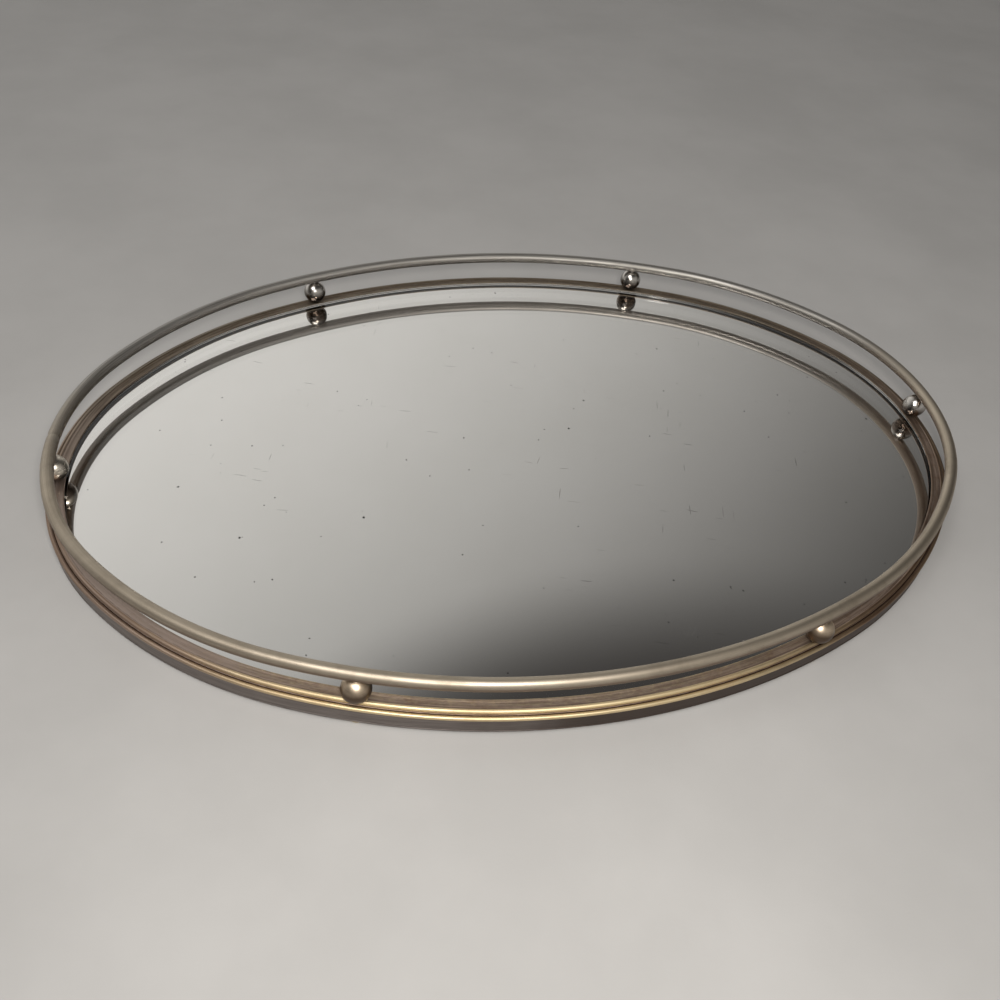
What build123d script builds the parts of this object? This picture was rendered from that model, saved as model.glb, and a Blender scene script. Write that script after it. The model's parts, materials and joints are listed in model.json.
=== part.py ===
"""An oval mirrored vanity tray: a framed mirror with a round rail that stands on six balls.

Millimetres, +Z up. The origin is the middle of the plane that the feet stand on, +X runs along
the tray's length and -Y is its front. Each physical piece is written to its own STEP file.
"""

import os
from collections import namedtuple
from math import cos, degrees, radians, sin

from build123d import *

# Overall size, over the rim's narrow bead and from the feet to the top of the rail.
TRAY_LENGTH = 381.0
TRAY_WIDTH = 268.2
TRAY_HEIGHT = 25.4

# The plan of the rail: a long oval of tangent arcs that keeps within 0.3 mm of an ellipse.
END_TURN = 36.0
FLANK_TURN = 66.0
FLANK_RADIUS_SHARE = 0.853

# The rail and its joint.
RAIL_RADIUS = 2.4
JOINT_FROM_BALL = 9.0
JOINT_GAP = 0.12
JOINT_PIN_RADIUS = 0.8
JOINT_PIN_LENGTH = 10.0

# Heights of the stack that the rim holds together.
WALL_BOTTOM = 1.5
BOARD_BOTTOM = 2.4
BOARD_THICKNESS = 2.0
CUSHION_THICKNESS = 2.1
SILVERING_THICKNESS = 0.2
GLASS_THICKNESS = 3.0
RIM_THICKNESS = 0.5
FELT_THICKNESS = 0.8

# The rim's section: reaches are outward from the rail's centreline.
RIM_REACH = 4.25
LIP_REACH = -2.9
LIP_ROUNDING = 0.25
BROAD_BEAD_RADIUS = 1.0
BROAD_BEAD_REACH = 1.3
BROAD_BEAD_DROP = 0.25
NARROW_BEAD_RADIUS = 0.8
BEAD_DROP = 1.05
WALL_REACH = 3.9
WALL_INSIDE = 3.3
HEM_RADIUS = 0.35
GUTTER_RADIUS = 3.0
GUTTER_DEPTH = 0.15
GUTTER_REACH = -1.3

# Edges of the flat pieces, from the rail's centreline.
GLASS_REACH = -1.9
GLASS_ARRIS = 0.3
SILVERING_REACH = -2.1
BOARD_REACH = 3.2
FELT_REACH = -4.6

# The posts: rod, ball, sleeve, washer and foot share one upright axis. The four side posts
# stand this far towards +X from equal spacing.
SIDE_POST_SHIFT = 1.5
ROD_RADIUS = 1.0
HOLE_RADIUS = 1.05
ROD_BOTTOM = 1.0
ROD_IN_RAIL = 1.8
HOLE_END_GAP = 0.2
SEAT_RADIUS = 1.7
SLEEVE_RADIUS = 1.6
WASHER_RADIUS = 3.0
WASHER_THICKNESS = 0.3
FOOT_RADIUS = 3.7
FOOT_SOLE_RADIUS = 2.6
FOOT_RIM_HEIGHT = 0.7
FOOT_HEIGHT = 1.2
FOOT_SHANK_RADIUS = 2.4

# The plate behind the rim's butt joint.
PLATE_HALF_LENGTH = 12.0
PLATE_THICKNESS = 0.6
PLATE_BOTTOM = 4.7
PLATE_TOP = 7.0

POST_NAMES = ("right", "back_right", "back_left", "left", "front_left", "front_right")

# Worked out from the sizes above.
HALF_LENGTH = TRAY_LENGTH / 2 - RIM_REACH
HALF_WIDTH = TRAY_WIDTH / 2 - RIM_REACH
RAIL_HEIGHT = TRAY_HEIGHT - RAIL_RADIUS
BOARD_TOP = BOARD_BOTTOM + BOARD_THICKNESS
CUSHION_TOP = BOARD_TOP + CUSHION_THICKNESS
GLASS_BOTTOM = CUSHION_TOP + SILVERING_THICKNESS
GLASS_TOP = GLASS_BOTTOM + GLASS_THICKNESS
SHOULDER = GLASS_TOP + RIM_THICKNESS
BALL_RADIUS = (RAIL_HEIGHT - RAIL_RADIUS - SHOULDER) / 2
BALL_HEIGHT = SHOULDER + BALL_RADIUS

Arc = namedtuple("Arc", "centre radius start end")


def outward(angle):
    """The unit vector at an angle in plan, in degrees from +X."""
    return Vector(cos(radians(angle)), sin(radians(angle)), 0)


def oval_arcs():
    """The eight tangent arcs of the rail's centreline, from the right end round by the back."""
    end_way, flank_way = outward(END_TURN), outward(FLANK_TURN)
    flank = FLANK_RADIUS_SHARE * HALF_LENGTH
    # The end and side radii follow from the half length, the half width and the flank radius.
    a, b, c = end_way.X - 1, -flank_way.X, flank * (end_way.X - flank_way.X) - HALF_LENGTH
    d, e, f = end_way.Y, 1 - flank_way.Y, flank * (end_way.Y - flank_way.Y) + HALF_WIDTH
    end = (c * e - b * f) / (a * e - b * d)
    side = (a * f - c * d) / (a * e - b * d)
    end_centre = Vector(HALF_LENGTH - end, 0, 0)
    flank_centre = end_centre + end_way * (end - flank)
    side_centre = Vector(0, HALF_WIDTH - side, 0)
    x, y = flank_centre.X, flank_centre.Y
    return [
        Arc(end_centre, end, -END_TURN, END_TURN),
        Arc(flank_centre, flank, END_TURN, FLANK_TURN),
        Arc(side_centre, side, FLANK_TURN, 180 - FLANK_TURN),
        Arc(Vector(-x, y, 0), flank, 180 - FLANK_TURN, 180 - END_TURN),
        Arc(-end_centre, end, 180 - END_TURN, 180 + END_TURN),
        Arc(Vector(-x, -y, 0), flank, 180 + END_TURN, 180 + FLANK_TURN),
        Arc(-side_centre, side, 180 + FLANK_TURN, 360 - FLANK_TURN),
        Arc(Vector(x, -y, 0), flank, 360 - FLANK_TURN, 360 - END_TURN),
    ]


ARCS = oval_arcs()
RIGHT_END, BACK_SIDE, LEFT_END = ARCS[0], ARCS[2], ARCS[4]


def station(distance):
    """The point on the rail's centreline at a distance along it from the right end."""
    left = distance + RIGHT_END.radius * radians(END_TURN)
    for arc in ARCS + ARCS[:1]:
        length = arc.radius * radians(arc.end - arc.start)
        if left <= length:
            return arc.centre + outward(arc.start + degrees(left / arc.radius)) * arc.radius
        left -= length
    raise ValueError("the distance is longer than the oval")


def post_points():
    """The six post positions by name, near equal spacing along the oval."""
    around = sum(arc.radius * radians(arc.end - arc.start) for arc in ARCS)
    step = around / len(POST_NAMES)
    shifts = {"back": -SIDE_POST_SHIFT, "front": SIDE_POST_SHIFT}
    return {
        name: station(step * number + shifts.get(name.split("_")[0], 0.0))
        for number, name in enumerate(POST_NAMES)
    }


POSTS = post_points()


def section_plane(arc, angle):
    """The upright plane across the oval at an angle: x runs outward from the centreline."""
    way = outward(angle)
    return Plane(origin=arc.centre + way * arc.radius, x_dir=way, z_dir=way.cross(Vector(0, 0, 1)))


def swept(section, arc, start, end):
    """A section carried along one arc of the oval."""
    placed = section_plane(arc, start) * section
    return revolve(placed, axis=Axis(arc.centre, (0, 0, 1)), revolution_arc=end - start)


def ring(section):
    """A section carried all the way round the oval."""
    return Part() + [swept(section, arc, arc.start, arc.end) for arc in ARCS]


def oval_plate(reach, bottom, top):
    """A flat oval plate whose edge is at a reach from the rail's centreline."""
    edges = [
        CenterArc(arc.centre, arc.radius + reach, arc.start, arc.end - arc.start) for arc in ARCS
    ]
    return Pos(0, 0, bottom) * extrude(make_face(edges), top - bottom)


def upright(radius, bottom, top):
    """An upright cylinder on the Z axis."""
    return Pos(0, 0, bottom) * extrude(Circle(radius), top - bottom)


def tube(radius, bore, bottom, top):
    """An upright tube on the Z axis."""
    return upright(radius, bottom, top) - upright(bore, bottom, top)


def post_holes(bottom, top):
    """A clearance hole for each post's rod."""
    hole = upright(HOLE_RADIUS, bottom, top)
    return [Pos(*point) * hole for point in POSTS.values()]


def rim_section():
    """The rim's moulding: lip, gutter, broad bead, groove, narrow bead, wall and hem."""
    broad = (BROAD_BEAD_REACH, GLASS_TOP - BROAD_BEAD_DROP)
    narrow = (RIM_REACH - NARROW_BEAD_RADIUS, broad[1] - BEAD_DROP)
    groove_height = narrow[1] + 0.3
    hem_height = WALL_BOTTOM + HEM_RADIUS
    outline = Polyline(
        (LIP_REACH, hem_height),
        (LIP_REACH, SHOULDER - LIP_ROUNDING),
        (LIP_REACH + LIP_ROUNDING, SHOULDER),
        (broad[0], SHOULDER),
        (broad[0] + 0.8, broad[1] - 0.5),
        (broad[0] + 1.2, groove_height),
        (WALL_REACH, narrow[1]),
        (WALL_REACH, hem_height),
        close=True,
    )
    hollow = Polyline(
        (LIP_REACH - 1, 0),
        (LIP_REACH - 1, GLASS_TOP),
        (broad[0] + 0.35, GLASS_TOP),
        (broad[0] + 0.35, narrow[1]),
        (WALL_INSIDE - 0.4, narrow[1] - 0.65),
        (WALL_INSIDE, narrow[1] - 1.05),
        (WALL_INSIDE, 0),
        close=True,
    )
    section = make_face(outline) + Pos(*broad) * Circle(BROAD_BEAD_RADIUS)
    section += Pos(*narrow) * Circle(NARROW_BEAD_RADIUS)
    section += Pos(WALL_REACH - 0.15, hem_height) * Circle(HEM_RADIUS)
    gutter = Pos(GUTTER_REACH, SHOULDER - GUTTER_DEPTH + GUTTER_RADIUS) * Circle(GUTTER_RADIUS)
    return section - gutter - make_face(hollow)


def base_rim():
    """The moulding bent to the oval, butted at the back, with a hole for each post."""
    seam = Pos(0, HALF_WIDTH, SHOULDER / 2) * Box(JOINT_GAP, 4 * RIM_REACH, 2 * SHOULDER)
    return ring(rim_section()) - seam - post_holes(GLASS_TOP - 1, SHOULDER + 1)


def rim_joint_plate():
    """The plate inside the rim's wall that bridges its butt joint."""
    middle = (WALL_INSIDE - PLATE_THICKNESS / 2, (PLATE_BOTTOM + PLATE_TOP) / 2)
    section = Pos(*middle) * Rectangle(PLATE_THICKNESS, PLATE_TOP - PLATE_BOTTOM)
    half_turn = degrees(PLATE_HALF_LENGTH / BACK_SIDE.radius)
    return swept(section, BACK_SIDE, 90 - half_turn, 90 + half_turn)


def joint_plane():
    """The plane across the rail where its ends meet, a little behind the left ball."""
    angle = 180 - degrees(JOINT_FROM_BALL / LEFT_END.radius)
    across = section_plane(LEFT_END, angle)
    return Plane(
        origin=across.origin + Vector(0, 0, RAIL_HEIGHT), x_dir=across.x_dir, z_dir=across.z_dir
    )


def joint_rod(radius, length):
    """A straight rod along the rail, centred on its butt joint."""
    return joint_plane() * extrude(Circle(radius), length / 2, both=True)


def top_rail():
    """The round rod bent to the oval, drilled for the posts and for its joint pin."""
    rail = ring(Pos(0, RAIL_HEIGHT) * Circle(RAIL_RADIUS))
    hole_top = RAIL_HEIGHT - RAIL_RADIUS + ROD_IN_RAIL + HOLE_END_GAP
    rail -= post_holes(RAIL_HEIGHT - 2 * RAIL_RADIUS, hole_top)
    rail -= joint_plane() * Box(4 * RAIL_RADIUS, 4 * RAIL_RADIUS, JOINT_GAP)
    hole_radius = JOINT_PIN_RADIUS + HOLE_RADIUS - ROD_RADIUS
    return rail - joint_rod(hole_radius, JOINT_PIN_LENGTH + 2 * HOLE_END_GAP)


def ball():
    """A ball bored for its rod, with a small turned seat at the top and at the bottom."""
    seats = upright(SEAT_RADIUS, -BALL_RADIUS, BALL_RADIUS)
    bore = upright(HOLE_RADIUS, -BALL_RADIUS, BALL_RADIUS)
    return Pos(0, 0, BALL_HEIGHT) * (Sphere(BALL_RADIUS) + seats - bore)


def post_rod():
    """The rod that ties foot, board, rim, ball and rail together."""
    rod = upright(ROD_RADIUS, ROD_BOTTOM, RAIL_HEIGHT - RAIL_RADIUS + ROD_IN_RAIL)
    return chamfer(rod.edges().filter_by(GeomType.CIRCLE), HOLE_END_GAP)


def foot_nut():
    """The foot: a blind nut whose flange is rounded towards the sole."""
    shank_top = BOARD_BOTTOM - WASHER_THICKNESS
    profile = Polyline(
        (0, 0),
        (FOOT_SOLE_RADIUS, 0),
        (FOOT_RADIUS - 0.3, 0.3),
        (FOOT_RADIUS, FOOT_RIM_HEIGHT),
        (FOOT_RADIUS - 0.2, FOOT_HEIGHT),
        (FOOT_SHANK_RADIUS, FOOT_HEIGHT),
        (FOOT_SHANK_RADIUS, shank_top),
        (0, shank_top),
        close=True,
    )
    foot = revolve(Plane.XZ * make_face(profile), axis=Axis.Z)
    return foot - upright(HOLE_RADIUS, ROD_BOTTOM - HOLE_END_GAP, shank_top)


def mirror_glass():
    """The glass, with its sharp edges taken off."""
    glass = oval_plate(GLASS_REACH, GLASS_BOTTOM, GLASS_TOP)
    level = glass.faces().filter_by(Axis.Z)
    return chamfer(level.edges(), GLASS_ARRIS)


def save(name, shape):
    """Write one piece to parts/NAME.step."""
    shape.label = name
    export_step(shape, f"parts/{name}.step")


def main():
    os.makedirs("parts", exist_ok=True)
    rim = base_rim()
    save("base_rim", rim)
    save("rim_joint_plate", rim_joint_plate())
    save("top_rail", top_rail())
    save("rail_joint_pin", joint_rod(JOINT_PIN_RADIUS, JOINT_PIN_LENGTH))
    washer = tube(WASHER_RADIUS, HOLE_RADIUS, BOARD_BOTTOM - WASHER_THICKNESS, BOARD_BOTTOM)
    post_pieces = {
        "post_rod": post_rod(),
        "spacer_sleeve": tube(SLEEVE_RADIUS, HOLE_RADIUS, BOARD_TOP, GLASS_TOP),
        "foot_nut": foot_nut(),
    }
    plain_ball = ball()
    for place, point in POSTS.items():
        # Each ball is dressed to sit against the rim's broad bead.
        save(f"ball_{place}", Pos(*point) * plain_ball - rim)
        for name, piece in post_pieces.items():
            save(f"{name}_{place}", Pos(*point) * piece)
    save("foot_washers", Compound(children=[Pos(*point) * washer for point in POSTS.values()]))
    board = oval_plate(BOARD_REACH, BOARD_BOTTOM, BOARD_TOP)
    save("base_board", board - post_holes(BOARD_BOTTOM, BOARD_TOP))
    save("base_felt", oval_plate(FELT_REACH, BOARD_BOTTOM - FELT_THICKNESS, BOARD_BOTTOM))
    save("cushion_pad", oval_plate(SILVERING_REACH, BOARD_TOP, CUSHION_TOP))
    save("mirror_silvering", oval_plate(SILVERING_REACH, CUSHION_TOP, GLASS_BOTTOM))
    save("mirror_glass", mirror_glass())
    for arc in ARCS[:3]:
        print("arc radius", round(arc.radius, 2), "from", arc.start, "to", arc.end)
    for place, point in POSTS.items():
        print("post", place, round(point.X, 2), round(point.Y, 2))


main()
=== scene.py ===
"""The looks of an oval mirrored vanity tray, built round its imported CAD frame.

Metres, +Z up, in the CAD model's own frame. Sizes come from the CAD nodes' boxes, or from the
sections below, which are in millimetres as reach outward from the rail's centreline and height.
"""

import json
from collections import namedtuple
from math import asin, cos, degrees, hypot, pi, radians, sin, sqrt

import bpy
import numpy as np
from mathutils import Matrix, Vector

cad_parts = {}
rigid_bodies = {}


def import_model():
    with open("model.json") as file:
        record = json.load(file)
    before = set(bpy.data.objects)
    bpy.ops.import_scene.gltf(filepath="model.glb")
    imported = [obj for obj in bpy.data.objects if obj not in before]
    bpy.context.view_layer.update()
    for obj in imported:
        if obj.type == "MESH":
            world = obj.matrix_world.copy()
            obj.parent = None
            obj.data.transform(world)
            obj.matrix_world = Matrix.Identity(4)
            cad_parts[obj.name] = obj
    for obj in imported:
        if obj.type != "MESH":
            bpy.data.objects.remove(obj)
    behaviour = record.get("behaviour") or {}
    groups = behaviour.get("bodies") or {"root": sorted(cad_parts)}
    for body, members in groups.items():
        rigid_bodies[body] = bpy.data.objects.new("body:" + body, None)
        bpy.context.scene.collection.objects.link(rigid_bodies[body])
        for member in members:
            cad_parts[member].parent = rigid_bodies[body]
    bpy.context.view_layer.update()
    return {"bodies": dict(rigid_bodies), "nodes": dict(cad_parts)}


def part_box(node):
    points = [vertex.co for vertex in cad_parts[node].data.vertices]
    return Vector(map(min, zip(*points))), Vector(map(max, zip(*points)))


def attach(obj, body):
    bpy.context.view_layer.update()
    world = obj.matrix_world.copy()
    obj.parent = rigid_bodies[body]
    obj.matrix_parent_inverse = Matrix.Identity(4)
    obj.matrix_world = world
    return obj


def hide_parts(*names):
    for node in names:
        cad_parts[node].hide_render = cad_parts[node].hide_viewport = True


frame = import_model()

MM = 0.001
BODY = next(iter(frame["bodies"]))
POST_NAMES = ("right", "back_right", "back_left", "left", "front_left", "front_right")

# The plan of the rail: a long oval of tangent arcs, as the CAD model draws it.
END_TURN = 36.0
FLANK_TURN = 66.0
FLANK_RADIUS_SHARE = 0.853

# How finely the swept and turned pieces are divided.
STATIONS = 720
RAIL_SIDES = 40
TURNED_SIDES = 96
SMOOTH_LIMIT = radians(32)

# The rail and its joint.
JOINT_FROM_BALL = 9.0 * MM
RAIL_JOINT_GAP = 0.12 * MM
RAIL_END_ROUNDING = 0.18 * MM
RIM_JOINT_GAP = 0.12 * MM

# The rim's section, in millimetres.
LIP_REACH = -2.9
LIP_ROUNDING = 0.25
SHOULDER_DROP = 0.25
GUTTER_CENTRE = -1.3
GUTTER_RADIUS = 3.0
GUTTER_DEPTH = 0.15
BROAD_BEAD_REACH = 1.3
BROAD_BEAD_RADIUS = 1.0
NARROW_BEAD_REACH = 3.45
NARROW_BEAD_RADIUS = 0.8
BEAD_DROP = 1.05
WALL_REACH = 3.9
WALL_INSIDE = 3.3
HEM_REACH = 3.75
HEM_RADIUS = 0.35

# The marks that wear leaves in the metal.
LINE_DEPTH = 0.0025 * MM
PIT_DEPTH = 0.01 * MM
PIT_BROWN = (0.06, 0.04, 0.025)
# A dark brown for the balls' painted shade on their lower part and their darker poles.
SHADE_AND_DIRT_BROWN = (0.070, 0.045, 0.031)

# Painted shade on the balls' lower part: how far up it fades, as a share of the height, and how strong it is.
SHADE_FADE = 0.34
SHADE_SHARE = 0.92

# The floor runs this far each way, in metres, so that its edge looks like a horizon.
FLOOR_REACH = 30.0

# The silvering, the felt under the board, and the feet.
SILVERING_REACH = -2.1 * MM
SILVERING_BOND = 0.02 * MM
FELT_REACH = -4.6 * MM
FELT_NAP = 0.05 * MM
KNURLS = 32
KNURL_DEPTH = 0.09 * MM

Arc = namedtuple("Arc", "centre radius start end")
Station = namedtuple("Station", "point outward distance")
Look = namedtuple("Look", "material tree shader colour gloss streaks")


def node_size(name):
    """The middle and the size of a CAD node's box."""
    low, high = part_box(name)
    return (low + high) / 2, high - low


RAIL_MIDDLE, RAIL_SIZE = node_size("top_rail")
RAIL_RADIUS = RAIL_SIZE.z / 2
RAIL_HEIGHT = RAIL_MIDDLE.z
HALF_LENGTH = RAIL_SIZE.x / 2 - RAIL_RADIUS
HALF_WIDTH = RAIL_SIZE.y / 2 - RAIL_RADIUS
GLASS_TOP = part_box("mirror_glass")[1].z
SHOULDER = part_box("ball_right")[0].z


# ---------------------------------------------------------------- the oval


def outward(angle):
    """The unit vector at an angle in plan, in degrees from +X."""
    return Vector((cos(radians(angle)), sin(radians(angle)), 0))


def oval_arcs():
    """The eight tangent arcs of the rail's centreline, from the right end round by the back."""
    end_way, flank_way = outward(END_TURN), outward(FLANK_TURN)
    flank = FLANK_RADIUS_SHARE * HALF_LENGTH
    a, b, c = end_way.x - 1, -flank_way.x, flank * (end_way.x - flank_way.x) - HALF_LENGTH
    d, e, f = end_way.y, 1 - flank_way.y, flank * (end_way.y - flank_way.y) + HALF_WIDTH
    end = (c * e - b * f) / (a * e - b * d)
    side = (a * f - c * d) / (a * e - b * d)
    end_centre = Vector((HALF_LENGTH - end, 0, 0))
    flank_centre = end_centre + end_way * (end - flank)
    side_centre = Vector((0, HALF_WIDTH - side, 0))
    x, y = flank_centre.x, flank_centre.y
    return [
        Arc(end_centre, end, -END_TURN, END_TURN),
        Arc(flank_centre, flank, END_TURN, FLANK_TURN),
        Arc(side_centre, side, FLANK_TURN, 180 - FLANK_TURN),
        Arc(Vector((-x, y, 0)), flank, 180 - FLANK_TURN, 180 - END_TURN),
        Arc(-end_centre, end, 180 - END_TURN, 180 + END_TURN),
        Arc(Vector((-x, -y, 0)), flank, 180 + END_TURN, 180 + FLANK_TURN),
        Arc(-side_centre, side, 180 + FLANK_TURN, 360 - FLANK_TURN),
        Arc(Vector((x, -y, 0)), flank, 360 - FLANK_TURN, 360 - END_TURN),
    ]


ARCS = oval_arcs()
OVAL_LENGTH = sum(arc.radius * radians(arc.end - arc.start) for arc in ARCS)


def station(distance):
    """The point and outward direction on the oval at a distance along it from the right end."""
    left = distance % OVAL_LENGTH + ARCS[0].radius * radians(END_TURN)
    for arc in ARCS + ARCS[:1]:
        length = arc.radius * radians(arc.end - arc.start)
        if left <= length:
            way = outward(arc.start + degrees(left / arc.radius))
            return Station(arc.centre + way * arc.radius, way, distance)
        left -= length
    raise ValueError("the distance is longer than the oval")


def stations(start, end, count):
    """Evenly spaced stations between two distances, both ends included."""
    return [station(start + (end - start) * i / count) for i in range(count + 1)]


# ---------------------------------------------------------------- mesh helpers


def finish_mesh(name, vertices, faces, smooth_limit=SMOOTH_LIMIT):
    """A linked object of smooth-shaded faces, with sharp edges above the limit."""
    mesh = bpy.data.meshes.new(name)
    mesh.from_pydata(vertices, [], faces)
    mesh.validate()
    mesh.polygons.foreach_set("use_smooth", [True] * len(mesh.polygons))
    mesh.set_sharp_from_angle(angle=smooth_limit)
    made = bpy.data.objects.new(name, mesh)
    bpy.context.scene.collection.objects.link(made)
    return made


def give_path_map(made, path_of_corner):
    """A UV map in metres: distance along the piece, and distance over its section."""
    layer = made.data.uv_layers.new(name="Path")
    for polygon in made.data.polygons:
        for corner, loop in enumerate(polygon.loop_indices):
            layer.data[loop].uv = path_of_corner(polygon.index, corner)


def give_share(made, name, values):
    """A named number on each vertex, for the materials to read."""
    attribute = made.data.attributes.new(name, "FLOAT", "POINT")
    attribute.data.foreach_set("value", np.asarray(values, np.float32))


def section_lengths(outline):
    """The running length over a closed outline, in metres."""
    around = [0.0]
    for (x0, z0), (x1, z1) in zip(outline, outline[1:] + outline[:1]):
        around.append(around[-1] + hypot(x1 - x0, z1 - z0))
    return around


def swept_ring(name, outline, start, gap, shade_and_grime, end_rounding=0.0):
    """A closed outline of (reach, height) points in metres, swept round the oval.

    It starts and ends at a butt joint, where its ends are capped and a little rounded. The path
    map runs both ways from the piece's middle, so the patterns on the two ends meet.
    """
    rows = stations(start + gap / 2, start + OVAL_LENGTH - gap / 2, STATIONS)
    middle_x = sum(x for x, _ in outline) / len(outline)
    middle_z = sum(z for _, z in outline) / len(outline)
    count = len(outline)
    vertices = []
    for index, row in enumerate(rows):
        at_end = index in (0, len(rows) - 1)
        for x, z in outline:
            if at_end and end_rounding:
                share = 1 - end_rounding / max(hypot(x - middle_x, z - middle_z), end_rounding)
                x, z = middle_x + (x - middle_x) * share, middle_z + (z - middle_z) * share
            vertices.append(row.point + row.outward * x + Vector((0, 0, z)))
    faces = []
    for i in range(len(rows) - 1):
        for j in range(count):
            k = (j + 1) % count
            faces.append((i * count + j, (i + 1) * count + j, (i + 1) * count + k, i * count + k))
    faces.append(tuple(range(count)))
    faces.append(tuple(reversed(range((len(rows) - 1) * count, len(rows) * count))))
    made = finish_mesh(name, vertices, faces)
    around = section_lengths(outline)
    middle = start + OVAL_LENGTH / 2

    def path(face, corner):
        if face >= (len(rows) - 1) * count:
            return (0.0, 0.0)
        i, j = divmod(face, count)
        along = abs(rows[i + (corner in (1, 2))].distance - middle)
        return (along, around[j + (corner in (2, 3))])

    give_path_map(made, path)
    give_share(made, "shade_and_grime", shade_and_grime * len(rows))
    return made


def turned(name, profile, place, sides=TURNED_SIDES, knurl=None):
    """A profile of (radius, height) points in metres, turned about an upright axis at a place."""
    vertices, faces, rings = [], [], []
    for radius, height in profile:
        if radius < 1e-7:
            rings.append([len(vertices)])
            vertices.append(place + Vector((0, 0, height)))
            continue
        rings.append(list(range(len(vertices), len(vertices) + sides)))
        for side in range(sides):
            angle = 2 * pi * side / sides
            reach = radius - (knurl(radius, height, angle) if knurl else 0)
            vertices.append(place + Vector((cos(angle) * reach, sin(angle) * reach, height)))
    for lower, upper in zip(rings, rings[1:]):
        for side in range(sides):
            after = (side + 1) % sides
            if len(lower) == 1:
                faces.append((lower[0], upper[after], upper[side]))
            elif len(upper) == 1:
                faces.append((lower[side], lower[after], upper[0]))
            else:
                faces.append((lower[side], lower[after], upper[after], upper[side]))
    return finish_mesh(name, vertices, faces)


def oval_slab(name, edge):
    """A flat oval piece whose edge section is a list of (reach, height) points in metres.

    The faces above and below are closed with rings that shrink towards the middle.
    """
    rows = stations(0, OVAL_LENGTH, STATIONS // 2)[:-1]
    shrink = (0.9, 0.7, 0.5, 0.3, 0.12)
    levels = [(edge[0], share) for share in reversed(shrink)]
    levels += [(point, 1.0) for point in edge]
    levels += [(edge[-1], share) for share in shrink]
    vertices = [Vector((0, 0, edge[0][1]))]
    for (reach, height), share in levels:
        for row in rows:
            flat = (row.point + row.outward * reach) * share
            vertices.append(flat + Vector((0, 0, height)))
    vertices.append(Vector((0, 0, edge[-1][1])))
    count, faces = len(rows), []
    for side in range(count):
        after = (side + 1) % count
        faces.append((0, 1 + after, 1 + side))
        for level in range(len(levels) - 1):
            low, high = 1 + level * count, 1 + (level + 1) * count
            faces.append((low + side, low + after, high + after, high + side))
        last = 1 + (len(levels) - 1) * count
        faces.append((last + side, last + after, len(vertices) - 1))
    return finish_mesh(name, vertices, faces)


def arc_points(centre, radius, start, end, steps):
    """Points along an arc of a section, from one angle to another in degrees."""
    angles = [radians(start + (end - start) * i / steps) for i in range(steps + 1)]
    return [(centre[0] + radius * cos(t), centre[1] + radius * sin(t)) for t in angles]


def put(piece, slot, *nodes):
    """Places a finished piece on the tray's body, instead of the CAD nodes that it shows."""
    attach(piece, BODY)
    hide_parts(*nodes)
    return piece


# ---------------------------------------------------------------- material helpers


def new_look(name, **values):
    """A material with its shader's plain sockets set, as (material, node tree, shader)."""
    material = bpy.data.materials.new(name)
    material.use_nodes = True
    shader = material.node_tree.nodes["Principled BSDF"]
    for socket, value in values.items():
        shader.inputs[socket.replace("_", " ")].default_value = value
    return material, material.node_tree, shader


def add(tree, kind, inputs=(), **settings):
    """A shader node with its settings, and its inputs as numbers or as other nodes' outputs."""
    node = tree.nodes.new("ShaderNode" + kind)
    for name, value in settings.items():
        setattr(node, name, value)
    for socket, value in dict(inputs).items():
        if isinstance(value, bpy.types.NodeSocket):
            tree.links.new(value, node.inputs[socket])
        else:
            node.inputs[socket].default_value = value
    return node


def place_in(tree, stretch=(1, 1, 1)):
    """The piece's own coordinates in metres, scaled."""
    coordinates = add(tree, "TexCoord").outputs["Object"]
    return add(tree, "Mapping", {"Vector": coordinates, "Scale": stretch}).outputs["Vector"]


def path_in(tree, stretch=(1, 1, 1)):
    """The coordinates along and over a swept piece in metres, scaled."""
    coordinates = add(tree, "UVMap", uv_map="Path").outputs["UV"]
    return add(tree, "Mapping", {"Vector": coordinates, "Scale": stretch}).outputs["Vector"]


def noise(tree, place, scale, detail=4.0, roughness=0.55, distortion=0.0):
    """A cloudy pattern from 0 to 1."""
    inputs = {
        "Vector": place,
        "Scale": scale,
        "Detail": detail,
        "Roughness": roughness,
        "Distortion": distortion,
    }
    return add(tree, "TexNoise", inputs).outputs["Fac"]


def fade(tree, value, low, high, at_low=0.0, at_high=1.0):
    """A number eased from one value to another as the input goes from low to high."""
    inputs = {"Value": value, "From Min": low, "From Max": high, "To Min": at_low, "To Max": at_high}
    return add(tree, "MapRange", inputs, interpolation_type="SMOOTHSTEP").outputs["Result"]


def calculate(tree, operation, first, second=0.0):
    """Arithmetic on two numbers."""
    return add(tree, "Math", {0: first, 1: second}, operation=operation).outputs[0]


def rgba(colour):
    """A colour with its alpha, or the socket that it comes from."""
    return colour if isinstance(colour, bpy.types.NodeSocket) else (*colour, 1.0)


def mix(tree, share, first, second):
    """A blend from the first colour to the second."""
    inputs = {"Factor": share, "A": rgba(first), "B": rgba(second)}
    node = add(tree, "Mix", data_type="RGBA")
    sockets = {"Factor": node.inputs[0], "A": node.inputs[6], "B": node.inputs[7]}
    for name, value in inputs.items():
        if isinstance(value, bpy.types.NodeSocket):
            tree.links.new(value, sockets[name])
        else:
            sockets[name].default_value = value
    return node.outputs[2]


def relief(tree, height, depth, under=None):
    """A bump of a depth in metres, over another bump if one is given."""
    inputs = {"Height": height, "Distance": depth, "Strength": 1.0}
    if under is not None:
        inputs["Normal"] = under
    return add(tree, "Bump", inputs).outputs["Normal"]


def connect(tree, shader, **sockets):
    """Links patterns to the shader's sockets."""
    for name, value in sockets.items():
        tree.links.new(value, shader.inputs[name.replace("_", " ")])


# ---------------------------------------------------------------- materials


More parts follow.
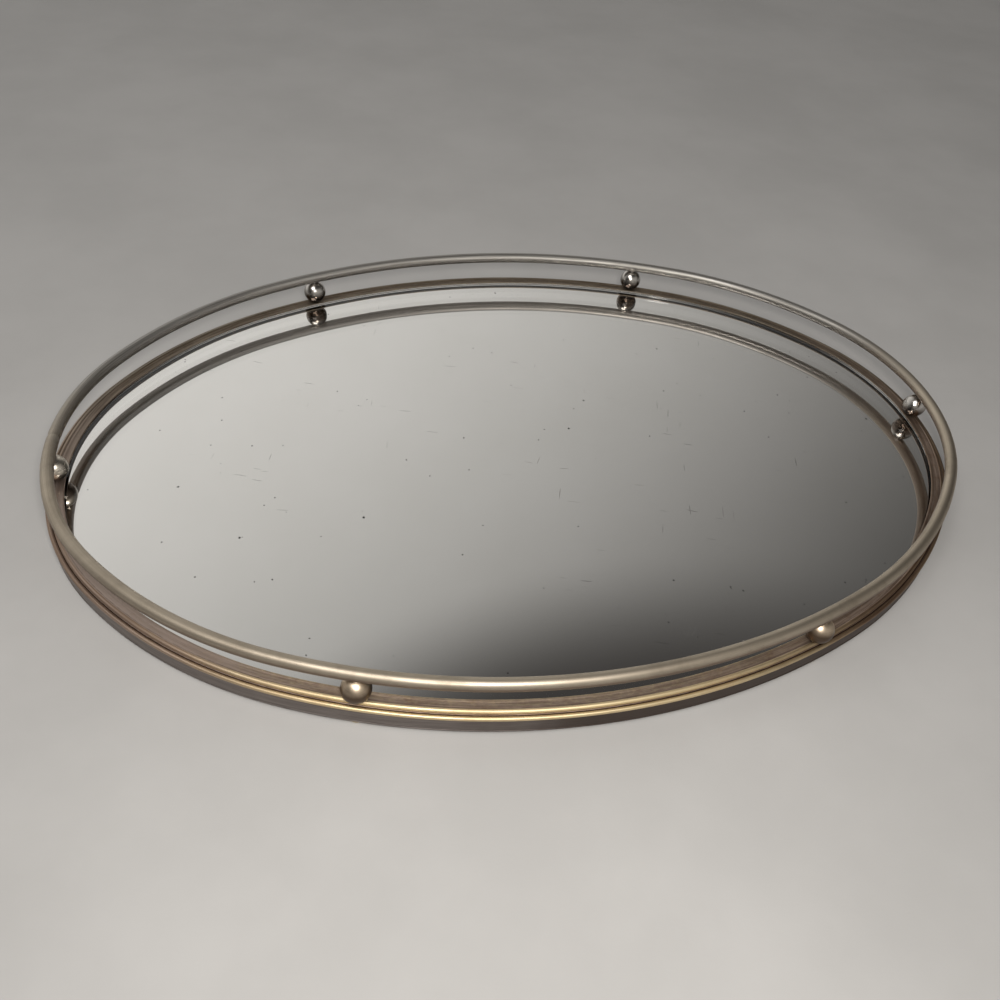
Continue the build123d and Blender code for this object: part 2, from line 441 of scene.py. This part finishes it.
def aged_metal(name, bright, dull, roughness, lines, from_path=False):
    """Worn plated brass: bright metal, cloudy tarnish, dark specks, and fine rubbed lines.

    The lines are noise scaled by three numbers, so the smallest one runs along them.
    """
    material, tree, shader = new_look(name, Metallic=1.0)
    coordinates = path_in if from_path else place_in
    place = coordinates(tree)
    streaks = noise(tree, coordinates(tree, lines), 1.0, 3.0, 0.6)
    clouds = noise(tree, place, 38.0, 6.0, 0.62, 0.4)
    patches = noise(tree, place, 210.0, 5.0, 0.65)
    tarnish = fade(tree, clouds, 0.38, 0.72, 0.0, 0.8)
    tarnish = calculate(tree, "MULTIPLY", tarnish, fade(tree, patches, 0.25, 0.75, 0.45, 1.0))
    colour = mix(tree, tarnish, bright, dull)
    colour = mix(tree, fade(tree, streaks, 0.35, 0.75, 0.0, 0.35), colour, dull)
    pits = fade(tree, noise(tree, place, 1500.0, 2.0, 0.7), 0.67, 0.75)
    colour = mix(tree, calculate(tree, "MULTIPLY", pits, 0.5), colour, PIT_BROWN)
    gloss = fade(tree, streaks, 0.3, 0.7, roughness - 0.04, roughness + 0.06)
    gloss = calculate(tree, "ADD", gloss, calculate(tree, "MULTIPLY", tarnish, 0.10))
    bumps = relief(tree, streaks, LINE_DEPTH)
    bumps = relief(tree, pits, -PIT_DEPTH, bumps)
    connect(tree, shader, Base_Color=colour, Roughness=gloss, Normal=bumps)
    return Look(material, tree, shader, colour, gloss, streaks)


def part_of(tree, axis):
    """One of the piece's own coordinates in metres."""
    return add(tree, "SeparateXYZ", {0: place_in(tree)}).outputs[axis]


def wandering(tree, value, reach, scale):
    """A coordinate shifted to and fro by a cloudy pattern, so that a fade on it has no straight edge."""
    drift = calculate(tree, "SUBTRACT", noise(tree, place_in(tree), scale, 4.0, 0.6), 0.5)
    return calculate(tree, "ADD", value, calculate(tree, "MULTIPLY", drift, 2 * reach))


def shade_and_grime_on(tree, ragged_share, scale):
    """The painted shade and grime given to the section's points, made ragged."""
    shade_and_grime = add(tree, "Attribute", attribute_name="shade_and_grime").outputs["Fac"]
    ragged = noise(tree, path_in(tree, (1, 2.5, 1)), scale, 5.0, 0.7)
    return calculate(tree, "ADD", shade_and_grime, calculate(tree, "MULTIPLY", ragged, ragged_share))


def rail_look():
    """The rail: satin gilt in front, worn to grey nickel at the back, with painted shade darkening its lower
    half.
    """
    look = aged_metal("rail_gilt", (0.55, 0.48, 0.385), (0.31, 0.262, 0.205), 0.46, (25, 2600, 1), True)
    tree = look.tree
    nickel = mix(tree, fade(tree, look.streaks, 0.3, 0.7), (0.45, 0.435, 0.41), (0.25, 0.235, 0.215))
    worn = fade(tree, wandering(tree, part_of(tree, "Y"), 0.04, 30.0), -0.02, 0.06)
    colour = mix(tree, worn, look.colour, nickel)
    # Painted shade: the lower half is darkened towards the underside, less so at the back, standing for a
    # dark reflection from below.
    shade_and_dirt = fade(tree, shade_and_grime_on(tree, 0.3, 300.0), -0.45, 0.20, 0.0, 0.85)
    shade_and_dirt = calculate(tree, "MULTIPLY", shade_and_dirt, fade(tree, worn, 0.0, 1.0, 1.0, 0.25))
    colour = mix(tree, shade_and_dirt, colour, (0.17, 0.122, 0.092))
    connect(tree, look.shader, Base_Color=colour)
    return look.material


def rim_look(wall_top):
    """The rim: cream gold beads, brown grooves, streaked grey-brown shoulder, and dark wall, with painted
    shade in the grooves and creases and on the right side.
    """
    look = aged_metal("rim_gilt", (0.82, 0.68, 0.43), (0.56, 0.41, 0.245), 0.50, (22, 1700, 1), True)
    tree = look.tree
    lined = fade(tree, look.streaks, 0.35, 0.65)
    across = wandering(tree, part_of(tree, "X"), 0.05, 25.0)
    # The left side lightened to tan and the right side darkened to brown gilt: partly the metal's own tone,
    # partly painted light and shade.
    tan = mix(tree, lined, (0.50, 0.385, 0.31), (0.30, 0.21, 0.155))
    brown_gilt = mix(tree, lined, (0.31, 0.22, 0.145), (0.16, 0.10, 0.066))
    nickel = mix(tree, lined, (0.37, 0.335, 0.275), (0.155, 0.118, 0.083))
    to_left = fade(tree, across, -0.16, -0.07, 1.0, 0.0)
    colour = mix(tree, to_left, look.colour, tan)
    colour = mix(tree, fade(tree, across, 0.04, 0.12), colour, brown_gilt)
    to_back = fade(tree, wandering(tree, part_of(tree, "Y"), 0.04, 30.0), -0.03, 0.07)
    colour = mix(tree, to_back, colour, nickel)

    # Darkness for each point of the section: partly grime, partly painted shade in the groove, creases and
    # shoulder.
    edge = shade_and_grime_on(tree, 0.5, 420.0)
    shade_and_dirt = fade(tree, edge, 0.50, 0.88)
    long_streaks = noise(tree, path_in(tree, (60, 1700, 1)), 1.0, 4.0, 0.6, 0.3)
    blotches = noise(tree, path_in(tree), 130.0, 5.0, 0.6)
    brown = mix(tree, fade(tree, long_streaks, 0.35, 0.65), (0.43, 0.335, 0.275), (0.27, 0.20, 0.155))
    brown = mix(tree, fade(tree, blotches, 0.48, 0.72, 0.0, 0.6), brown, (0.20, 0.115, 0.075))
    # The brown lightened on the left: partly own tone, partly painted light.
    brown = mix(tree, to_left, brown, mix(tree, long_streaks, (0.56, 0.465, 0.41), (0.40, 0.32, 0.275)))
    old_brown = mix(tree, fade(tree, long_streaks, 0.35, 0.65), (0.25, 0.20, 0.15), (0.12, 0.09, 0.065))
    brown = mix(tree, to_back, brown, old_brown)
    side = mix(tree, fade(tree, long_streaks, 0.3, 0.7), (0.29, 0.26, 0.245), (0.19, 0.165, 0.155))
    # The right half of the wall darkened: partly painted shade.
    side = mix(tree, fade(tree, across, -0.06, 0.01), side, (0.105, 0.083, 0.073))
    on_wall = fade(tree, part_of(tree, "Z"), wall_top - 0.2 * MM, wall_top + 0.2 * MM, 1.0, 0.0)
    brown = mix(tree, on_wall, brown, side)
    # Darkest brown in the groove and creases: painted shade, with some grime.
    brown = mix(tree, fade(tree, edge, 1.12, 1.45), brown, (0.06, 0.034, 0.019))
    colour = mix(tree, shade_and_dirt, colour, brown)
    gloss = calculate(tree, "ADD", look.gloss, calculate(tree, "MULTIPLY", shade_and_dirt, 0.06))
    connect(tree, look.shader, Base_Color=colour, Roughness=gloss)
    return look.material


def ball_look(name, bright, dull, roughness, shade_top):
    """A turned and polished ball, with faint turning lines, darker poles and painted shade on its lower part.
    """
    look = aged_metal(name, bright, dull, roughness, (160, 160, 5000))
    tree = look.tree
    height = add(tree, "SeparateXYZ", {0: add(tree, "TexCoord").outputs["Generated"]}).outputs["Z"]
    height = wandering(tree, height, 0.07, 260.0)
    from_middle = calculate(tree, "ABSOLUTE", calculate(tree, "SUBTRACT", height, 0.5))
    # Darker at both poles.
    pole = fade(tree, from_middle, 0.43, 0.50)
    # Painted shade: the lower part is darkened, standing for a dark reflection from below.
    shaded = fade(tree, height, shade_top - SHADE_FADE, shade_top, SHADE_SHARE, 0.0)
    shade_and_dirt = calculate(tree, "MAXIMUM", calculate(tree, "MULTIPLY", pole, 0.85), shaded)
    colour = mix(tree, shade_and_dirt, look.colour, SHADE_AND_DIRT_BROWN)
    gloss = calculate(tree, "ADD", look.gloss, calculate(tree, "MULTIPLY", pole, 0.15))
    connect(tree, look.shader, Base_Color=colour, Roughness=gloss)
    return look.material


def foot_look():
    """The feet: plain turned brass, darker and more scuffed than the rim."""
    return aged_metal("foot_brass", (0.60, 0.48, 0.30), (0.20, 0.15, 0.10), 0.34, (900, 900, 60)).material


def inner_look():
    """The sleeves, washers and joint plate: mill-finish brass that has never been polished."""
    return aged_metal("inner_brass", (0.66, 0.54, 0.30), (0.34, 0.26, 0.15), 0.38, (60, 60, 4000)).material


def steel_look():
    """The rods and the rail's joint pin: drawn steel wire."""
    return aged_metal("drawn_steel", (0.58, 0.58, 0.58), (0.30, 0.29, 0.28), 0.30, (4000, 4000, 40)).material


def glass_look():
    """Clear float glass with hairline scratches and a few scuffed places."""
    material, tree, shader = new_look(
        "float_glass",
        Base_Color=(1.0, 1.0, 1.0, 1.0),
        Roughness=0.0,
        IOR=1.52,
        Transmission_Weight=1.0,
    )
    place = place_in(tree)
    across = place_in(tree, (2600, 90, 1))
    turned_place = add(tree, "Mapping", {"Vector": place, "Rotation": (0, 0, 0.9)}).outputs["Vector"]
    other = add(tree, "Mapping", {"Vector": turned_place, "Scale": (2300, 70, 1)}).outputs["Vector"]
    first = fade(tree, noise(tree, across, 1.0, 1.0, 0.4), 0.72, 0.80)
    second = fade(tree, noise(tree, other, 1.0, 1.0, 0.4), 0.73, 0.80)
    lines = calculate(tree, "MAXIMUM", first, second)
    worn = fade(tree, noise(tree, place, 26.0, 3.0, 0.6), 0.60, 0.74)
    scuffs = calculate(tree, "MULTIPLY", lines, worn)
    connect(tree, shader, Normal=relief(tree, scuffs, 0.00002))
    gloss = calculate(tree, "MULTIPLY", scuffs, 0.25)
    connect(tree, shader, Roughness=gloss)
    return material


def marks(tree, place, cells, chance, radius, raggedness=0.0):
    """Small spots, one at most in each cell of a flat pattern, with only some cells marked.

    The radius is a share of a cell; squeezing the place beforehand turns the spots into dashes.
    """
    spots = add(tree, "TexVoronoi", {"Vector": place, "Scale": cells}, voronoi_dimensions="2D")
    lot = add(tree, "SeparateXYZ", {0: spots.outputs["Color"]}).outputs["X"]
    size = fade(tree, lot, 1.0 - chance, 1.0, 0.0, radius)
    if raggedness:
        ragged = noise(tree, place_in(tree), 2600.0, 3.0, 0.6)
        size = calculate(tree, "MULTIPLY", size, fade(tree, ragged, 0.3, 0.7, 1.0 - raggedness, 1.3))
    inside = calculate(tree, "SUBTRACT", spots.outputs["Distance"], size)
    shown = fade(tree, inside, 0.0, 0.25 * radius, 1.0, 0.0)
    return calculate(tree, "MULTIPLY", shown, fade(tree, lot, 1.0 - chance, 1.0 - 0.9 * chance))


def dashes(tree, turn, along, across, chance):
    """Short straight scratches that lie roughly one way."""
    drift = add(tree, "TexNoise", {"Vector": place_in(tree), "Scale": 18.0}).outputs["Color"]
    bent = add(tree, "VectorMath", {0: drift, "Scale": 0.012}, operation="SCALE").outputs["Vector"]
    place = add(tree, "VectorMath", {0: place_in(tree), 1: bent}).outputs["Vector"]
    place = add(tree, "Mapping", {"Vector": place, "Rotation": (0, 0, turn)}).outputs["Vector"]
    place = add(tree, "Mapping", {"Vector": place, "Scale": (along, across, 1)}).outputs["Vector"]
    return marks(tree, place, 1.0, chance, 0.22)


def silvering_look():
    """The silvered back of the glass, with black specks where it has lifted and faint scratches."""
    material, tree, shader = new_look("silvering", Metallic=1.0, Roughness=0.015)
    place = place_in(tree)
    speck = marks(tree, place, 85.0, 0.05, 0.04, 0.5)
    fine = marks(tree, place, 240.0, 0.035, 0.08, 0.3)
    speck = calculate(tree, "MAXIMUM", speck, calculate(tree, "MULTIPLY", fine, 0.7))
    haze = noise(tree, place, 14.0, 5.0, 0.6)
    silver = mix(tree, fade(tree, haze, 0.3, 0.7), (0.91, 0.90, 0.875), (0.94, 0.93, 0.91))
    scratch = calculate(tree, "MAXIMUM", dashes(tree, 0.3, 1100, 80, 0.03), dashes(tree, 1.9, 1200, 95, 0.03))
    worn = fade(tree, noise(tree, place, 22.0, 3.0, 0.6), 0.50, 0.66)
    silver = mix(tree, calculate(tree, "MULTIPLY", scratch, worn), silver, (0.60, 0.59, 0.565))
    connect(tree, shader, Base_Color=mix(tree, speck, silver, (0.03, 0.027, 0.024)))
    return material


def fibre_look(name, light, dark, scale, stretch, depth):
    """Board or card: matted fibres over a cloudy ground."""
    material, tree, shader = new_look(name, Roughness=0.85)
    place = place_in(tree)
    clouds = noise(tree, place, scale / 12, 4.0, 0.6)
    fibres = noise(tree, place_in(tree, stretch), scale, 6.0, 0.7, 1.2)
    colour = mix(tree, fade(tree, clouds, 0.3, 0.7), light, dark)
    colour = mix(tree, fade(tree, fibres, 0.45, 0.75, 0.0, 0.55), colour, dark)
    connect(tree, shader, Base_Color=colour, Normal=relief(tree, fibres, depth))
    return material


def felt_look():
    """Dark green felt: short matted wool that lies every way."""
    material, tree, shader = new_look("baize_felt", Roughness=0.95, Sheen_Weight=0.35, Sheen_Roughness=0.5)
    place = place_in(tree)
    wool = noise(tree, place, 1900.0, 6.0, 0.75, 1.8)
    tufts = noise(tree, place, 420.0, 4.0, 0.6)
    rubbed = noise(tree, place, 22.0, 3.0, 0.5)
    colour = mix(tree, fade(tree, wool, 0.3, 0.7), (0.012, 0.045, 0.028), (0.030, 0.085, 0.052))
    colour = mix(tree, fade(tree, rubbed, 0.45, 0.75, 0.0, 0.5), colour, (0.055, 0.105, 0.075))
    bumps = relief(tree, tufts, 0.00012)
    connect(tree, shader, Base_Color=colour, Normal=relief(tree, wool, 0.00008, bumps))
    return material


def floor_look():
    """A pale matt tabletop with the faintest mottle."""
    material, tree, shader = new_look("pale_floor", Roughness=0.7)
    mottle = noise(tree, place_in(tree), 9.0, 5.0, 0.6)
    fine = noise(tree, place_in(tree), 900.0, 3.0, 0.6)
    colour = mix(tree, fade(tree, mottle, 0.3, 0.7), (0.47, 0.463, 0.456), (0.52, 0.512, 0.505))
    connect(tree, shader, Base_Color=colour, Normal=relief(tree, fine, 0.00003))
    return material


# ---------------------------------------------------------------- pieces


def top_rail():
    """The round rail, butted beside the left ball."""
    outline = arc_points((0, RAIL_HEIGHT), RAIL_RADIUS, 0, 360, RAIL_SIDES)[:-1]
    # Darkness for each point of the section, growing towards the underside: painted shade.
    shade_and_grime = [(RAIL_HEIGHT - z) / RAIL_RADIUS for _, z in outline]
    joint = OVAL_LENGTH / 2 - JOINT_FROM_BALL
    rail = swept_ring("gallery_rail", outline, joint, RAIL_JOINT_GAP, shade_and_grime, RAIL_END_ROUNDING)
    rail.data.materials.append(rail_look())
    return put(rail, "rail_brass", "top_rail")


def rim_outline():
    """The rim's section in metres with the painted shade and grime on each point, from the lip over the
    outside.
    """
    top, glass = SHOULDER / MM, GLASS_TOP / MM
    broad = (BROAD_BEAD_REACH, glass - SHOULDER_DROP)
    narrow = (NARROW_BEAD_REACH, broad[1] - BEAD_DROP)
    crease = degrees(asin((top - broad[1]) / BROAD_BEAD_RADIUS))
    gutter = (GUTTER_CENTRE, top - GUTTER_DEPTH + GUTTER_RADIUS)
    gutter_half = degrees(asin(sqrt(GUTTER_RADIUS**2 - (GUTTER_RADIUS - GUTTER_DEPTH) ** 2) / GUTTER_RADIUS))
    hem = (HEM_REACH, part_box("base_rim")[0].z / MM + HEM_RADIUS)
    hem_start = degrees(asin(sqrt(HEM_RADIUS**2 - (WALL_REACH - HEM_REACH) ** 2) / HEM_RADIUS))
    lip = (LIP_REACH + LIP_ROUNDING, top - LIP_ROUNDING)
    # The first number of each run is its darkness: partly grime, partly painted shade in the groove and
    # creases.
    runs = [
        (0.45, arc_points(lip, LIP_ROUNDING, 180, 90, 5)),
        (0.55, arc_points(gutter, GUTTER_RADIUS, 270 - gutter_half, 270 + gutter_half, 8)),
        (0.60, [(0.2, top)]),
        (1.10, [(BROAD_BEAD_REACH - 0.72, top)]),
        (0.85, arc_points(broad, BROAD_BEAD_RADIUS, 180 - crease, 118, 2)),
        (0.00, arc_points(broad, BROAD_BEAD_RADIUS, 108, 8, 11)),
        (0.75, arc_points(broad, BROAD_BEAD_RADIUS, -8, -34, 3)),
        (1.30, [(2.42, narrow[1] + 0.26), (2.62, narrow[1] + 0.24)]),
        (0.60, arc_points(narrow, NARROW_BEAD_RADIUS, 158, 140, 2)),
        (0.00, arc_points(narrow, NARROW_BEAD_RADIUS, 130, -10, 12)),
        (0.60, arc_points(narrow, NARROW_BEAD_RADIUS, -22, -48, 3)),
        (1.25, [(WALL_REACH, narrow[1] - 0.70)]),
        (0.72, [(WALL_REACH, narrow[1] - 1.0), (WALL_REACH, narrow[1] - 2.6), (WALL_REACH, hem[1] + 2.0)]),
        (0.80, [(WALL_REACH, hem[1] + 0.6)]),
        (0.78, arc_points(hem, HEM_RADIUS, hem_start, -180, 9)),
        (0.70, [(WALL_INSIDE, hem[1] + 0.1), (WALL_INSIDE, narrow[1] - 1.05)]),
        (0.80, [(WALL_INSIDE - 0.4, narrow[1] - 0.65), (BROAD_BEAD_REACH + 0.35, narrow[1])]),
        (0.80, [(BROAD_BEAD_REACH + 0.35, glass), (LIP_REACH, glass)]),
    ]
    outline = [(x * MM, z * MM) for _, points in runs for x, z in points]
    shade_and_grime = [value for value, points in runs for _ in points]
    return outline, shade_and_grime


def base_rim():
    """The beaded rim, butted at the middle of the back."""
    outline, shade_and_grime = rim_outline()
    rim = swept_ring("beaded_rim", outline, OVAL_LENGTH / 4, RIM_JOINT_GAP, shade_and_grime)
    narrow_bottom = GLASS_TOP - (SHOULDER_DROP + BEAD_DROP + NARROW_BEAD_RADIUS) * MM
    rim.data.materials.append(rim_look(narrow_bottom))
    return put(rim, "rim_brass", "base_rim")


def ball_profile(radius):
    """Half the outline of a ball with a small flat seat at each pole."""
    seat = radians(18.5)
    seat_radius = radius * sin(seat)
    profile = [(0.0, -radius), (seat_radius - 0.12 * MM, -radius), (seat_radius, -radius + 0.10 * MM)]
    steps = 60
    for step in range(steps + 1):
        turn = seat + (pi - 2 * seat) * step / steps
        profile.append((radius * sin(turn), -radius * cos(turn)))
    profile += [(seat_radius, radius - 0.10 * MM), (seat_radius - 0.12 * MM, radius), (0.0, radius)]
    return profile


def balls():
    """The six balls: the front ones worn to bronze, the back and right ones still silvery."""
    bronze = ball_look("ball_bronze", (0.74, 0.61, 0.46), (0.42, 0.32, 0.22), 0.38, 0.92)
    silvery = ball_look("ball_silvery", (0.62, 0.60, 0.57), (0.34, 0.30, 0.26), 0.20, 0.74)
    pale = ball_look("ball_pale", (0.84, 0.78, 0.68), (0.52, 0.45, 0.37), 0.27, 0.60)
    looks = dict.fromkeys(POST_NAMES, silvery)
    looks.update(front_left=bronze, front_right=bronze, left=pale)
    for place in POST_NAMES:
        middle, size = node_size(f"ball_{place}")
        made = turned(f"gallery_ball_{place}", ball_profile(min(size) / 2), Vector((0, 0, 0)))
        made.location = middle
        made.data.materials.append(looks[place])
        put(made, "ball_brass", f"ball_{place}")


def foot_profile(foot_height, radius, shank_top):
    """Half the outline of a foot: domed sole, knurled edge and shank."""
    rounding = 0.3 * MM
    sole, shank = 2.6 * MM, 2.4 * MM
    profile = [(0.0, 0.0), (sole, 0.0)]
    profile += [(radius - rounding * 1.4, 0.22 * MM), (radius - rounding * 0.5, 0.45 * MM)]
    profile += [(radius, 0.62 * MM), (radius, foot_height - 0.25 * MM)]
    profile += [(radius - 0.2 * MM, foot_height), (shank, foot_height), (shank, shank_top), (0.0, shank_top)]
    return profile


def feet():
    """The six brass feet under the balls."""
    look = foot_look()
    for place in POST_NAMES:
        low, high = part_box(f"foot_nut_{place}")
        middle, radius = (low + high) / 2, (high.x - low.x) / 2
        profile = foot_profile(1.2 * MM, radius, high.z)

        def knurl(reach, height, angle, radius=radius):
            on_edge = reach > radius - 0.05 * MM
            return KNURL_DEPTH * (0.5 + 0.5 * cos(KNURLS * angle)) if on_edge else 0.0

        made = turned(f"foot_{place}", profile, Vector((middle.x, middle.y, 0)), 4 * KNURLS, knurl)
        made.data.materials.append(look)
        put(made, "foot_brass", f"foot_nut_{place}")


def base_felt():
    """The felt, a laid sheet with a softly rounded edge and an uneven nap."""
    low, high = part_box("base_felt")
    rounding = 0.3 * MM
    edge = arc_points((FELT_REACH - rounding, low.z + rounding), rounding, 270, 360, 4)
    edge += [(FELT_REACH, high.z)]
    felt = oval_slab("baize_felt", edge)
    random = np.random.default_rng(7)
    for vertex in felt.data.vertices:
        if vertex.co.z < low.z + 0.01 * MM:
            vertex.co.z += FELT_NAP * random.random()
    felt.data.materials.append(felt_look())
    put(felt, "felt", "base_felt")


def silvered_back():
    """The silvering, bonded a hair's breadth into the glass so that no air shows between them."""
    low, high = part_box("mirror_silvering")
    edge = [(SILVERING_REACH, low.z), (SILVERING_REACH, high.z + SILVERING_BOND)]
    silvering = oval_slab("silvered_back", edge)
    silvering.data.materials.append(silvering_look())
    put(silvering, "silvering", "mirror_silvering")


def dress_cad_nodes():
    """Gives the CAD nodes that stay their materials."""
    inner, steel = inner_look(), steel_look()
    glass = glass_look()
    card = fibre_look("grey_card", (0.42, 0.39, 0.34), (0.25, 0.22, 0.18), 900.0, (1, 6, 1), 0.00005)
    hardboard = fibre_look(
        "hardboard", (0.16, 0.085, 0.042), (0.075, 0.038, 0.02), 700.0, (1, 1, 1), 0.00006
    )
    looks = {
        "mirror_glass": glass,
        "cushion_pad": card,
        "base_board": hardboard,
        "rim_joint_plate": inner,
        "rail_joint_pin": steel,
        "foot_washers": inner,
    }
    for place in POST_NAMES:
        looks[f"post_rod_{place}"] = steel
        looks[f"spacer_sleeve_{place}"] = inner
    for name, look in looks.items():
        mesh = frame["nodes"][name].data
        mesh.materials.clear()
        mesh.materials.append(look)


# ---------------------------------------------------------------- studio


def make_camera():
    """The viewpoint: above the front left, looking down across the mirror."""
    yaw, pitch, roll = radians(15.49), radians(44.58), radians(6.07)
    forward = Vector((sin(yaw) * cos(pitch), cos(yaw) * cos(pitch), -sin(pitch)))
    level = Vector((cos(yaw), -sin(yaw), 0))
    above = level.cross(forward)
    right = level * cos(roll) + above * sin(roll)
    up = above * cos(roll) - level * sin(roll)
    camera = bpy.data.objects.new("camera", bpy.data.cameras.new("camera"))
    camera.data.lens = 33.32
    camera.data.sensor_width = 36
    camera.data.clip_start = 0.01
    rotation = Matrix((right, up, -forward)).transposed().to_4x4()
    camera.matrix_world = Matrix.Translation((-0.0868, -0.2879, 0.2708)) @ rotation
    bpy.context.scene.collection.objects.link(camera)
    bpy.context.scene.camera = camera
    return camera


def soft_light(name, place, target, size, power, colour):
    """A square or round soft light that faces a point."""
    lamp = bpy.data.lights.new(name, "AREA")
    lamp.shape = "DISK"
    lamp.size = size
    lamp.energy = power
    lamp.color = colour
    made = bpy.data.objects.new(name, lamp)
    made.location = place
    made.rotation_euler = (Vector(target) - Vector(place)).to_track_quat("-Z", "Y").to_euler()
    bpy.context.scene.collection.objects.link(made)
    return made


def make_world():
    """Soft room light, brightest low behind the tray's left and dim overhead."""
    world = bpy.data.worlds.new("soft_room")
    bpy.context.scene.world = world
    world.use_nodes = True
    tree = world.node_tree
    direction = add(tree, "TexCoord").outputs["Generated"]
    towards = add(tree, "VectorMath", {0: direction, 1: (-0.45, 0.89, 0.0)}, operation="DOT_PRODUCT")
    glow = fade(tree, towards.outputs["Value"], 0.03, 1.0)
    colour = mix(tree, glow, (0.030, 0.028, 0.026), (0.76, 0.745, 0.715))
    behind = fade(tree, towards.outputs["Value"], -0.95, -0.12, 1.0, 0.0)
    colour = mix(tree, behind, colour, (0.42, 0.405, 0.385))
    overhead = add(tree, "VectorMath", {0: direction, 1: (0.25, 0.0, 1.0)}, operation="DOT_PRODUCT")
    dim = fade(tree, overhead.outputs["Value"], 0.80, 0.89)
    colour = mix(tree, dim, colour, (0.045, 0.042, 0.040))
    tree.links.new(colour, tree.nodes["Background"].inputs["Color"])


def make_studio():
    """The pale floor and the soft lights."""
    corners = [(x * FLOOR_REACH, y * FLOOR_REACH, 0) for x, y in ((-1, -1), (1, -1), (1, 1), (-1, 1))]
    floor = finish_mesh("floor", corners, [(0, 1, 2, 3)])
    floor.data.materials.append(floor_look())
    make_world()
    eye = bpy.context.scene.camera.location
    beside_eye = eye + Vector((0.02, -0.02, 0.05))
    soft_light("near_camera", beside_eye, (0.0, -0.03, 0.0), 0.08, 0.95, (1.0, 0.96, 0.9))
    soft_light("overhead", (-0.5, -0.5, 1.4), (0, 0, 0), 0.9, 8.0, (1.0, 0.98, 0.95))


bpy.context.scene.view_settings.view_transform = "Standard"
make_camera()
make_studio()
top_rail()
base_rim()
balls()
feet()
base_felt()
silvered_back()
dress_cad_nodes()
